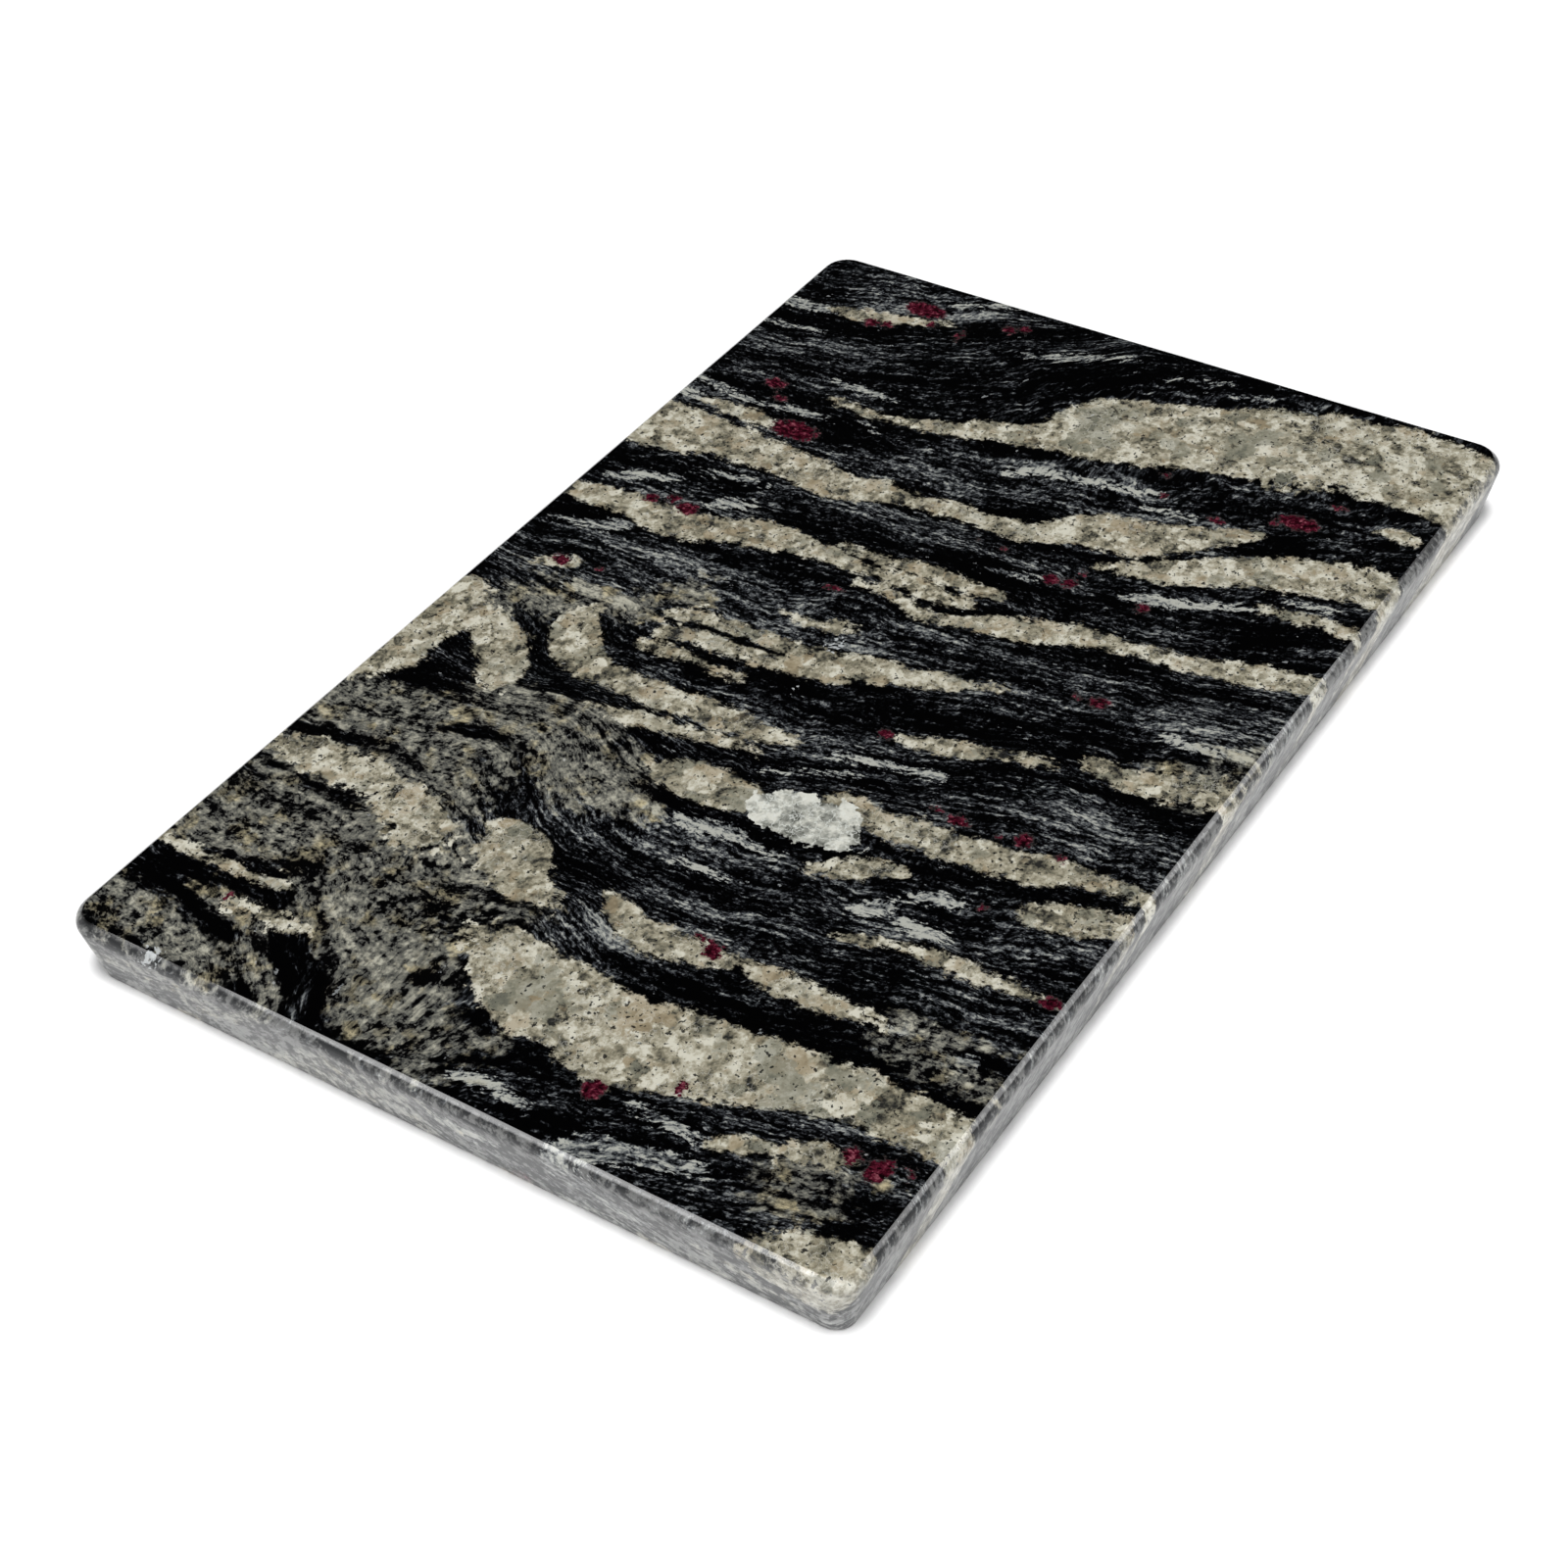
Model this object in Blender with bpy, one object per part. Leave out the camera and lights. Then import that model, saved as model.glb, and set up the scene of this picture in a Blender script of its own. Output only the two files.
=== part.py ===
"""A granite slab for leatherwork: one sawn plate of banded stone, polished, with rubbed edges.

The slab is a single quarried stone, so the model is a single closed solid. Its edge profile runs
round the plan outline: a narrow rubbed arris at the working face, a rounded nose, a side that
leans inwards below the nose, and a small arris round the underside. Every height's outline is a
parallel offset of the others, so the corners are rounded about the same four axes all the way up.
The origin is the middle of the underside, +X runs along the slab and +Z points up.
"""

import math

import bmesh
import bpy

# Driving dimensions, in metres.
LENGTH = 0.356  # overall, over the rounded noses
WIDTH = 0.228  # overall, over the rounded noses
THICKNESS = 0.021
BASE_CORNER_RADIUS = 0.0044  # in plan, at the underside: the outlines above it are wider
ARRIS_WIDTH = 0.0010  # the rubbed facet round the working face, measured across
ARRIS_DROP = 0.00085  # and downwards
NOSE_RADIUS = 0.0031  # rounds the arris over into the side
SIDE_LEAN = math.radians(13.5)  # each side slopes inwards by this angle below its nose
BASE_ARRIS = 0.0006  # the facet round the underside, across and upwards

# How finely the rounded stretches are stepped, and which edges still look crisp.
NOSE_STEPS = 5  # from the arris to the nose's widest line
LEAN_STEPS = 2  # from there to the leaning side
CORNER_STEPS = 10
CRISP_ANGLE = math.radians(12)

STONE_COLOUR = (0.115, 0.118, 0.108, 1.0)
STONE_ROUGHNESS = 0.12


def clear_scene():
    for item in list(bpy.data.objects):
        bpy.data.objects.remove(item, do_unlink=True)


def edge_profile():
    """(inset, height) pairs down the edge, each inset measured in from the widest outline."""
    arris_slope = math.atan2(ARRIS_DROP, ARRIS_WIDTH)
    widest_height = THICKNESS - ARRIS_DROP - NOSE_RADIUS * math.cos(arris_slope)
    upright = math.pi / 2
    slopes = [arris_slope + (upright - arris_slope) * step / NOSE_STEPS for step in range(NOSE_STEPS)]
    slopes += [upright + SIDE_LEAN * step / LEAN_STEPS for step in range(LEAN_STEPS + 1)]
    nose = []
    for slope in slopes:
        inset = NOSE_RADIUS * (1 - math.sin(slope))
        nose.append((inset, widest_height + NOSE_RADIUS * math.cos(slope)))
    face_rim = (nose[0][0] + ARRIS_WIDTH, THICKNESS)
    foot_inset = nose[-1][0] + (nose[-1][1] - BASE_ARRIS) * math.tan(SIDE_LEAN)
    return [face_rim, *nose, (foot_inset, BASE_ARRIS), (foot_inset + BASE_ARRIS, 0.0)]


def plan_outline(mesh, inset, height, radius):
    """A flat face with the slab's rounded rectangular outline at one height."""
    corners = bmesh.ops.create_grid(mesh, x_segments=1, y_segments=1, size=0.5)["verts"]
    bmesh.ops.scale(mesh, vec=(LENGTH - 2 * inset, WIDTH - 2 * inset, 1.0), verts=corners)
    bmesh.ops.translate(mesh, vec=(0.0, 0.0, height), verts=corners)
    bmesh.ops.bevel(
        mesh,
        geom=corners,
        offset=radius,
        offset_type="OFFSET",
        segments=CORNER_STEPS,
        profile=0.5,
        affect="VERTICES",
        material=-1,
    )
    mesh.faces.ensure_lookup_table()
    return mesh.faces[-1]


def slab_mesh():
    """The outlines stacked up the edge profile, joined into one closed skin."""
    profile = edge_profile()
    base_inset = profile[-1][0]
    mesh = bmesh.new()
    outlines = []
    between = []
    for inset, height in profile:
        face = plan_outline(mesh, inset, height, BASE_CORNER_RADIUS + base_inset - inset)
        outlines.append(list(face.edges))
        if 0.0 < height < THICKNESS:
            between.append(face)
    bmesh.ops.delete(mesh, geom=between, context="FACES_ONLY")
    for upper, lower in zip(outlines, outlines[1:]):
        bmesh.ops.bridge_loops(mesh, edges=upper + lower)
    bmesh.ops.recalc_face_normals(mesh, faces=mesh.faces[:])
    data = bpy.data.meshes.new("granite_slab")
    mesh.to_mesh(data)
    mesh.free()
    data.shade_smooth()
    data.set_sharp_from_angle(angle=CRISP_ANGLE)
    return data


def polished_stone():
    material = bpy.data.materials.new("polished_stone")
    material.use_nodes = True
    shader = material.node_tree.nodes["Principled BSDF"]
    shader.inputs["Base Color"].default_value = STONE_COLOUR
    shader.inputs["Roughness"].default_value = STONE_ROUGHNESS
    shader.inputs["Metallic"].default_value = 0.0
    return material


def build():
    clear_scene()
    slab = bpy.data.objects.new("granite_slab", slab_mesh())
    slab.data.materials.append(polished_stone())
    bpy.context.scene.collection.objects.link(slab)


build()
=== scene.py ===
import math
from types import SimpleNamespace

import bmesh
import bpy
import numpy as np
from mathutils import Matrix, Vector


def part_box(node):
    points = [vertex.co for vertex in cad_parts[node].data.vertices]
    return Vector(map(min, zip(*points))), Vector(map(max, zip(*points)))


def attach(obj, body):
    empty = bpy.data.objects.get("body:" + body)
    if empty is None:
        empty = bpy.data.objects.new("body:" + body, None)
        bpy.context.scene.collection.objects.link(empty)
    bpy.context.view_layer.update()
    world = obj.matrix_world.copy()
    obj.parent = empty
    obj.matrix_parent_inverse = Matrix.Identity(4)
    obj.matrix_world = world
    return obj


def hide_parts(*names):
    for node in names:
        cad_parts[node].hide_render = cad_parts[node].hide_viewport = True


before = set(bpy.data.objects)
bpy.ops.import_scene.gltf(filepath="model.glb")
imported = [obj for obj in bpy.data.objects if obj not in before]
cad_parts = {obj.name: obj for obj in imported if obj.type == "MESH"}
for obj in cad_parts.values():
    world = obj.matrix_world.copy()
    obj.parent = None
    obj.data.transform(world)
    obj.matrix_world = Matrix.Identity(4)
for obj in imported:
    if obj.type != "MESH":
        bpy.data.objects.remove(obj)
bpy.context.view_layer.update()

# A heavy slab of polished gneiss that leather is stamped on. The solid gives its size. This script
# gives it a finer surface, marks where the rock's bands lie, and mixes the stone, the light and the view.

# The slab, in metres: its size is the solid's, to the micron, and its edge has the solid's profile.
MICRON_DIGITS = 6
low_corner, high_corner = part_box("granite_slab")
LENGTH, WIDTH, THICKNESS = (round(high - low, MICRON_DIGITS) for low, high in zip(low_corner, high_corner))
BASE_CORNER_RADIUS = 0.0044
ARRIS_WIDTH = 0.0010
ARRIS_DROP = 0.00085
NOSE_RADIUS = 0.0031
SIDE_LEAN = math.radians(13.5)
BASE_ARRIS = 0.0006

# How finely the surface is divided, so that the veins can be marked on its points.
COLUMNS = 222
LINES = 142
NOSE_STEPS = 8
LEAN_STEPS = 2
SIDE_STEPS = 9
ARRIS_STEPS = 2

# The slab starts as a block whose sides lie at one half. A point further out than this is on its rim.
RIM_STARTS = 0.4999

# Edges that turn by more than this stay crisp.
CRISP_ANGLE = math.radians(20)

# How far in the hand has rubbed the arris at most, and the lengths of its two wavers in millimetres.
RUB_DEPTH = 0.00012
LONG_WAVER = 17.0
SHORT_WAVER = 5.3

# Millimetres in a metre. The rock is marked and mixed in millimetres.
MM = 1000.0
THICKNESS_MM = THICKNESS * MM

# The bands lean as they go down through the slab: millimetres sideways for each millimetre of depth.
DIP_X = 0.9
DIP_Y = -0.5

# Lines that the bands follow: a level, then points in millimetres.
# The level grows by about one with each millimetre across the bands.
FLOW_LINES = [
    (-176, [(-172, 112), (-175, 90), (-184, 70)]),
    (-159, [(-175, -5), (-165, -40), (-155, -75), (-148, -110)]),
    (-145, [(-138, 110), (-140, 80), (-155, 50), (-176, 30)]),
    (-120, [(-108, 110), (-110, 85), (-106, 60), (-118, 38), (-112, 12)]),
    (-134, [(-133, 25), (-138, -10), (-138, -40), (-131, -75), (-126, -110)]),
    (-96, [(-84, 108), (-76, 72), (-84, 45), (-97, 20), (-99, 0), (-95, -40), (-88, -80),
           (-84, -110)]),
    (-74, [(-62, 85), (-56, 60), (-62, 38), (-74, 12), (-78, -20), (-75, -50), (-68, -80),
           (-62, -110)]),
    (-56, [(-47, 60), (-48, 40), (-58, 10), (-57, -12), (-50, -45), (-44, -80), (-40, -110)]),
    (-32, [(-30, 95), (-42, 64), (-38, 35), (-38, 0), (-30, -35), (-20, -70), (-14, -110)]),
    (-16, [(-12, 110), (-20, 72), (-24, 30), (-21, 0), (-14, -40), (-3, -90)]),
    (2, [(-2, 110), (-4, 60), (-2, 10), (9, -40), (20, -90)]),
    (37, [(30, 110), (34, 60), (41, 10), (40, -40), (48, -90)]),
    (73, [(70, 110), (71, 60), (74, 10), (80, -40), (95, -90)]),
    (100, [(97, 110), (101, 60), (110, 10), (122, -40), (134, -90)]),
    (107, [(104, 110), (108, 60), (130, 10), (160, -40), (176, -90)]),
    (133, [(128, 110), (134, 80), (145, 50), (160, 25), (175, 5)]),
    (148, [(143, 110), (156, 60), (180, 10)]),
    (170, [(168, 110), (180, 70)]),
]

# Cream feldspar veins: points along each, and half its width there, in millimetres.
CREAM_VEINS = [
    [(-133, 18, 2), (-138, 5, 11), (-139, -5, 13), (-140, -20, 12), (-142, -31, 14),
     (-139, -40, 13), (-137, -50, 12), (-135, -60, 11), (-132, -70, 9.5), (-130, -80, 8.5),
     (-129, -90, 7.5), (-129, -100, 7.5), (-129, -116, 6.5)],
    [(-131, 24, 1.5), (-129, 15, 4.5), (-131, 6, 6)],
    [(-59, 17, 3), (-58, 8, 7), (-58, -1, 7), (-57, -9, 5)],
    [(-48, -26, 1.5), (-46, -33, 4), (-49, -41, 3), (-48, -46, 4), (-47, -52, 5.5),
     (-47, -60, 5), (-46, -70, 5), (-45, -80, 5), (-43, -86, 5), (-41, -93, 3.5),
     (-40, -101, 3), (-40, -116, 2.5)],
    [(-71, -36, 1.5), (-67, -43, 3.5), (-63, -50, 3), (-61, -57, 1)],
    [(-58, -90, 3), (-56, -98, 5), (-52, -107, 4.5), (-51, -116, 3)],
    [(-12, 72, 2), (-20, 72, 6), (-29, 66, 7), (-34, 56, 5), (-34.5, 45, 4.5), (-35, 30, 4.5),
     (-34, 15, 4.5), (-34, 2, 3.5), (-33, -8, 1)],
    [(-50, 76, 5), (-45, 79, 7), (-38, 84, 8), (-33, 92, 6), (-29, 97, 3)],
    [(-66, 112, 3), (-56, 106, 6), (-45, 108, 8), (-32, 105, 9), (-23, 108, 5)],
    [(-47, 48, 1), (-46, 36, 2.5), (-44, 22, 2.5), (-42, 10, 1.8), (-41, 0, 1)],
    [(-19, 51, 2), (-18, 42, 2), (-18, 32, 1.2), (-19, 20, 1)],
    [(-12, 48, 3), (-9, 41, 3), (-9, 30, 2.5), (-8, 18, 3), (-7, 6, 2.8), (-6, -4, 1.5)],
    [(-4, 52, 2), (-2, 42, 2.5), (-1, 28, 2.5), (-1, 14, 3), (0, 2, 4), (2, -8, 4.5), (4, -19, 4),
     (7, -28, 3), (10, -35, 2), (12, -43, 1)],
    [(30, 116, 3), (31, 100, 4.5), (32, 90, 5), (31, 80, 6), (31, 70, 6), (35, 60, 5.5),
     (38, 50, 6), (39, 40, 4.5), (39.5, 30, 3.3), (39, 20, 2.5), (39, 10, 2.2), (39, 1, 3),
     (38, -8, 2.6), (39, -16, 1.8)],
    [(44.5, 28, 0.8), (44, 18, 2), (46, 8, 2.2), (46, -2, 2.4), (46, -12, 2), (46, -22, 1.7)],
    [(32, 15, 1), (33, 6, 1.8), (30, -2, 2.2), (29, -10, 2.5), (31, -18, 2), (35, -27, 4.3),
     (36, -35, 4.8), (39, -42, 4.4), (42, -50, 4.3), (43, -58, 3), (44, -66, 2.8),
     (45, -75, 3), (46, -83, 3.5), (48, -91, 3.6), (50, -99, 4.5), (52, -107, 4), (54, -116, 3.5)],
    [(70, 116, 12), (70, 101, 11), (71, 90, 8.5), (72, 80, 8), (71.5, 70, 6.6), (71, 60, 6.4),
     (69.5, 50, 7), (68.5, 41, 5.5), (72, 32, 5), (72.5, 22, 3), (74, 12, 3.5), (74.5, 0, 3),
     (75, -8, 4), (76, -15, 4.5), (82, -24, 6), (86, -32, 8), (88, -42, 8), (92, -50, 6.5),
     (97, -58, 4.5), (102, -66, 3), (106, -71, 0.8)],
    [(72, -39, 1), (75, -48, 3), (79, -57, 5), (83, -65, 6), (88, -73, 7), (92, -82, 7),
     (95, -90, 7.3), (97, -98, 8), (98, -106, 8), (97, -116, 7)],
    [(105, 73, 0.8), (105, 65, 1.3), (104, 57, 1.5), (105, 48, 2), (107, 38, 2.5), (110, 28, 3),
     (114, 21, 4.5), (116, 12, 5), (121, 3, 8), (128, -6, 14), (133, -14, 16), (136, -24, 16),
     (139, -33, 16), (142, -42, 16), (146, -52, 18), (149, -61, 18), (153, -70, 17.5),
     (155, -80, 17), (155.5, -90, 18), (154, -100, 18), (152, -116, 18)],
    [(-18, -29, 1.2), (-16, -40, 3), (-13, -50, 2.5), (-10, -58, 2), (-8, -68, 1.2)],
    [(-107, -42, 1.8), (-108, -52, 3.6), (-108, -62, 3.6), (-107.5, -70, 2), (-106, -78, 1)],
    [(-103, 2, 1), (-108, -6, 3.5), (-111, -16, 5), (-109, -26, 4.5), (-108, -36, 2.5)],
    [(-96, 42, 1.5), (-99, 36, 6), (-104, 30, 10), (-109, 24, 8), (-112, 15, 3.5), (-113, 9, 1)],
    [(-99, 112, 3), (-99, 100, 6.5), (-99, 88, 6), (-100, 76, 6), (-103, 64, 7), (-108, 56, 8)],
    [(-88, -54, 0.8), (-85, -62, 2.2), (-83, -70, 1.2), (-82, -80, 2.3), (-82, -92, 2.4),
     (-82, -102, 1.8), (-82, -110, 0.8)],
    [(-176, -116, 12), (-174, -104, 8), (-178, -92, 6)],
    [(-157, -66, 1.2), (-154, -72, 2.2), (-151, -80, 1.5), (-147, -88, 3), (-146, -96, 1)],
    [(-153, 80, 1.5), (-152, 70, 2.5), (-152, 60, 2)],
    [(-142.5, 112, 1.2), (-143, 96, 1.6), (-142, 82, 1.8), (-141, 73, 1.5)],
    [(86.5, 104, 1), (86.5, 96, 2), (86, 88, 3), (85, 82, 2.4), (86, 76, 0.8)],
    [(148, 96, 1.5), (149, 88, 3), (152, 77, 2.6), (155, 67, 1.6), (158, 60, 1)],
    [(11, 26, 0.8), (11, 18, 1.8), (13, 9, 2.6), (14, 3, 1)],
    [(-4, 99, 1.2), (-1, 94, 2.5), (1, 88, 1.5)],
    [(-3, -77, 2.5), (-3, -88, 4), (-1, -98, 5), (3, -108, 6), (5, -116, 5)],
    [(127, -62, 2), (131, -70, 1.4), (135, -78, 1), (136, -88, 0.8)],
    [(123, -98, 1), (124, -103, 2.4), (124, -108, 1.4)],
    [(76, -84, 1), (77, -95, 2), (78, -105, 2.5), (77, -116, 2.5)],
]

# Thin grey strands, given the same way.
GREY_VEINS = [
    [(-170, -2, 1.5), (-168, -14, 1.8), (-170, -24, 1)],
    [(-176, -36, 2), (-172, -43, 4.5), (-169, -52, 3), (-166, -62, 2.6), (-165, -69, 1.2)],
    [(-157, -44, 1.5), (-157, -54, 1.8), (-158, -64, 1)],
    [(-72, 2, 2.2), (-70.5, -10, 2.2), (-71, -27, 1)],
    [(-79, -52, 1), (-75, -57, 3.2), (-71, -60, 1)],
    [(-68, -62, 1), (-65, -68, 2.6), (-63, -75, 1.2)],
    [(-76, -66, 2.2), (-75, -76, 2)],
    [(-33, -18, 1), (-30, -28, 1.6), (-28, -38, 1.4), (-26, -46, 1.8)],
    [(-8, 86, 1.2), (-7, 74, 1.8), (-7, 62, 1.6)],
    [(16, 108, 1.2), (18, 98, 1.6), (21, 90, 3), (24, 84, 1.2)],
    [(41, 106, 1), (44, 98, 1.8), (49, 87, 1.5)],
    [(42, 72, 1), (46, 67, 2.4), (48, 60, 1)],
    [(55, 84, 1.2), (57, 74, 1.8), (58, 62, 1.4)],
    [(97, 114, 1.6), (94, 99, 1.2), (93, 88, 1.2), (95, 76, 1.8), (95, 64, 0.8)],
    [(88, 114, 1.4), (87, 102, 1.2)],
    [(100, 56, 1.2), (96, 49, 0.8)],
    [(114, 74, 1.2), (114, 62, 1.8), (114, 53, 1)],
    [(133, 112, 1.3), (134, 100, 1.3), (135, 91, 0.6)],
    [(145, 116, 2.4), (146, 104, 2.6), (147, 96, 1.5)],
    [(168, 64, 1), (172, 55, 1.6), (178, 45, 1.6)],
    [(153, 32, 1), (157, 22, 1.7), (163, 11, 1.3), (168, 2, 0.6)],
    [(54, -10, 1.2), (57, -20, 1.5), (59, -29, 0.8)],
    [(97, 6, 0.8), (101, 0, 1.6), (104, -8, 2), (105, -18, 1.5), (107, -28, 1), (110, -40, 0.6)],
    [(102, -36, 1), (103, -44, 1.3), (104, -52, 0.7)],
    [(63, -50, 1), (65, -59, 2.2), (68, -68, 1.7), (72, -77, 1.4), (76, -86, 1.2)],
    [(82, -90, 1), (84, -103, 1.1)],
    [(162, -12, 0.8), (166, -21, 1.4), (170, -30, 0.8)],
    [(164, -34, 1), (167, -44, 1.4)],
    [(16, -88, 1.5), (16, -98, 1.5), (19, -108, 2.5)],
    [(-108, -82, 1.5), (-104, -85, 1.8)],
    [(-110, -98, 3), (-107, -102, 2.5)],
    [(-86, -5, 0.8), (-84, -20, 1)],
    [(-46, -6, 0.7), (-40, -18, 1), (-37, -28, 0.7)],
]

# Grainy ground, where the bands are stirred into salt and pepper, given the same way.
GRAINY_GROUND = [
    [(-170, 112, 12), (-172, 95, 10), (-171, 80, 9), (-168, 66, 9), (-171, 50, 8)],
    [(-154, 92, 6), (-153, 76, 7), (-150, 64, 8)],
    [(-126, 116, 17), (-124, 95, 16), (-121, 78, 12), (-122, 62, 20), (-132, 48, 22),
     (-150, 36, 18), (-165, 22, 14)],
    [(-120, 40, 12), (-128, 28, 10), (-121, 16, 8)],
    [(-99, 114, 10), (-98, 90, 10), (-99, 70, 12)],
    [(-77, 112, 15), (-75, 92, 16), (-82, 74, 12), (-88, 56, 10)],
    [(-66, 99, 4), (-64, 89, 6), (-61, 80, 8), (-60, 70, 12), (-62, 50, 14), (-68, 34, 12),
     (-66, 18, 9)],
    [(-166, 10, 12), (-160, -4, 6)],
    [(-20, 96, 7), (-16, 84, 7), (-10, 66, 5)],
    [(-55, 55, 8), (-50, 40, 6)],
    [(-112, -84, 9), (-112, -94, 11), (-113, -106, 10)],
    [(-160, -84, 7), (-158, -98, 6)],
    [(0, -100, 12), (8, -112, 12)],
    [(-2, 60, 5), (6, 52, 4)],
]

# Black seams that run through the pale ground, given the same way.
BLACK_SEAMS = [
    [(-62, 99, 1.0), (-57, 94, 1.8), (-50, 93, 1.6), (-44, 97, 1.6)],
    [(-48, 88, 1.0), (-56, 86, 1.4), (-63, 78, 1.6), (-68, 66, 2), (-69, 52, 2), (-74, 40, 1.6),
     (-79, 28, 1.2)],
    [(-26, 88, 1), (-33, 80, 1.8), (-40, 70, 2), (-44, 62, 2), (-46, 52, 1.2)],
    [(-93, 108, 2.4), (-90, 98, 2), (-88, 86, 2.6), (-89, 74, 1.8), (-94, 62, 1.6),
     (-99, 52, 1.4)],
    [(-80, 58, 1.2), (-83, 46, 1.8), (-86, 34, 1.4)],
    [(-58, 50, 1.4), (-61, 38, 1.8), (-65, 28, 1.2)],
    [(-158, 112, 2.4), (-156, 98, 2.6), (-159, 82, 3), (-160, 66, 2.4), (-164, 52, 2), (-172, 44, 1.6)],
    [(-148, 108, 2.2), (-149, 94, 2.4), (-147, 82, 1.6)],
    [(-176, 78, 1.4), (-172, 68, 1.2), (-176, 58, 1)],
    [(-113, 106, 1), (-110, 96, 1.5), (-109, 84, 1.8), (-110, 72, 1.6)],
    [(-137, 106, 1.5), (-139, 92, 1.8), (-138, 78, 4.5), (-132, 70, 3), (-140, 64, 2.5), (-150, 52, 2),
     (-162, 42, 2.2), (-176, 36, 1.8)],
    [(-121, 38, 2), (-118, 30, 2), (-118, 18, 1.6), (-115, 9, 1.2)],
    [(-93, 42, 1.6), (-91, 30, 1.8), (-96, 22, 1.4), (-106, 19, 1.3)],
    [(-5, 40, 0.8), (-5.5, 30, 1.3), (-5, 18, 0.8)],
    [(-51, 42, 1.2), (-51, 28, 1.6), (-48, 12, 1.5), (-47, 0, 1.2)],
    [(-143, -9, 0.8), (-145, -17, 1.2), (-144, -24, 0.8)],
    [(-150, 24, 3.5), (-146, 14, 3), (-152, 4, 4)],
    [(-68, 22, 3), (-68, 12, 2.6), (-66, 2, 1.2)],
    [(-52, 8, 1.4), (-51, -2, 1.2), (-53, -12, 1)],
    [(137, -26, 1.2), (134, -33, 1), (132, -39, 0.6)],
    [(128, -44, 0.4), (133, -51, 0.7), (137, -57, 0.4)],
    [(144, -53, 0.9), (142, -57, 0.5)],
    [(157, -93, 0.6), (163, -95, 1.1), (171, -92, 0.8)],
    [(165, -97, 0.8), (163, -106, 0.8), (160, -116, 0.8)],
    [(95, -73, 1), (99, -69, 1.2), (104, -74, 1.5)],
    [(67, 108, 0.8), (65, 104, 0.5)],
    [(33, -14, 0.8), (36, -20, 0.8), (41, -28, 1)],
    [(38, 60, 0.4), (33, 68, 0.6)],
]

# The milky quartz lens, given the same way.
QUARTZ_LENSES = [
    [(-57, -14, 5), (-57, -22, 8.5), (-56, -31, 8.5), (-57, -39, 4)],
]

# Where the dark ground is greyer or blacker than the rest: place, how far it reaches, and how much.
TONES = [
    (14, 72, 24, 0.30), (18, -104, 16, 0.35), (-44, -14, 10, 0.30), (115, -32, 10, 0.25),
    (-22, 98, 12, 0.30), (120, 98, 16, 0.15), (172, 88, 14, 0.25), (-88, 32, 12, 0.25),
    (-118, -4, 13, 0.55), (62, 35, 10, 0.15), (90, 35, 12, 0.2), (20, 30, 14, 0.2),
    (8, -66, 18, -0.30), (106, -82, 10, -0.55), (67, -92, 12, -0.35), (56, -14, 8, -0.35),
    (128, 52, 18, -0.15), (156, 16, 16, -0.25), (162, -8, 10, -0.2), (-98, -66, 12, -0.2),
    (-168, -88, 10, 0.25), (-139, -98, 4, -0.3), (-90, -45, 14, -0.2), (32, 36, 6, -0.5),
    (152, 104, 8, -0.4), (88, 60, 6, -0.4), (-28, 30, 8, -0.2), (-112, -92, 12, 0.1),
    (-56, 86, 8, 0.2), (-20, -92, 14, 0.15), (55, 98, 6, -0.2),
]

# Garnets: place, half width across the bands, half length along them, in millimetres.
GARNETS = [
    (104, 89, 2.6, 3.6), (98, 84, 1.4, 2), (86, 70.5, 4.4, 7.5), (147, 82, 2.2, 2.2),
    (148.5, 77, 1.8, 2), (161, 71, 3.8, 7), (154.5, 65, 1.3, 2.2), (153.5, 54, 2.6, 1),
    (163.5, 42.5, 2, 2), (166, 38.5, 1.8, 2), (37, 88, 2, 2.2), (40, 82, 1.8, 2), (38, 76, 3, 3.2),
    (0.5, 93, 2.4, 3), (2, 81, 0.8, 1), (59.5, -30, 2.4, 2.4), (60.5, -35.5, 2, 2.2),
    (66.5, -36.5, 1.2, 0.8), (60.5, -57.5, 2.2, 1.6), (65.5, -12, 0.8, 1.2), (65, -4, 0.7, 0.7),
    (19, -60.5, 1.2, 1), (19.5, -67, 2.2, 2.6), (116, -77, 3.2, 6), (112.5, -71, 1.2, 1),
    (106, -57, 1.2, 2.4), (109.5, -38, 1.3, 1.5), (118.5, -34.5, 1, 1.4), (128, -84, 1.2, 1.8),
    (-18.5, -25.5, 1.8, 2.2), (-104.5, -27, 1.6, 2), (-107, -31.5, 2.8, 2.6), (-157.5, -33, 2.8, 3),
    (-147, -50, 2, 1.8), (-38, -58.5, 1.8, 3), (-36, -76, 3, 2.4), (-37.5, -87, 1.3, 1.4),
    (-37, -51, 0.9, 1.2), (-38, -70, 0.9, 1), (-144, -94, 2.6, 2.2), (-145, -101.5, 4, 3),
    (-142.5, -108, 1.6, 1.2), (-81.5, -109, 2, 2.4), (-62, -79, 0.8, 1.2), (-151.5, 82.5, 1.6, 1),
    (27, 20, 0.8, 2),
]

# Where the cream turns beige or glassy: place, how far it reaches, how beige, how glassy.
CREAM_TINTS = [
    (-133, -30, 6, 0.9, -0.3), (-141, -10, 13, 0.0, 0.3), (-131, -72, 12, 0.2, 0.4),
    (-136, -43, 8, -0.3, -0.3), (-137, -58, 16, 0.0, 0.12), (-150, 90, 7, 0.9, 0.0),
    (126, -6, 6, -0.5, 0.9), (136, -4, 6, -0.5, 0.9), (148, -52, 6, -0.2, 0.7),
    (140, -49, 5, -0.2, 0.7), (-57, -4, 4, 0.0, 0.8), (-74, -56, 4, 0.0, 0.8),
    (150, -85, 9, -0.2, 0.5), (154, -102, 8, -0.2, 0.5), (-46, -33, 5, 0.6, 0.5),
    (71, 50, 14, 0.3, -0.3), (34, 60, 12, 0.3, -0.3), (88, -42, 9, 0.3, -0.2),
]

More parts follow.
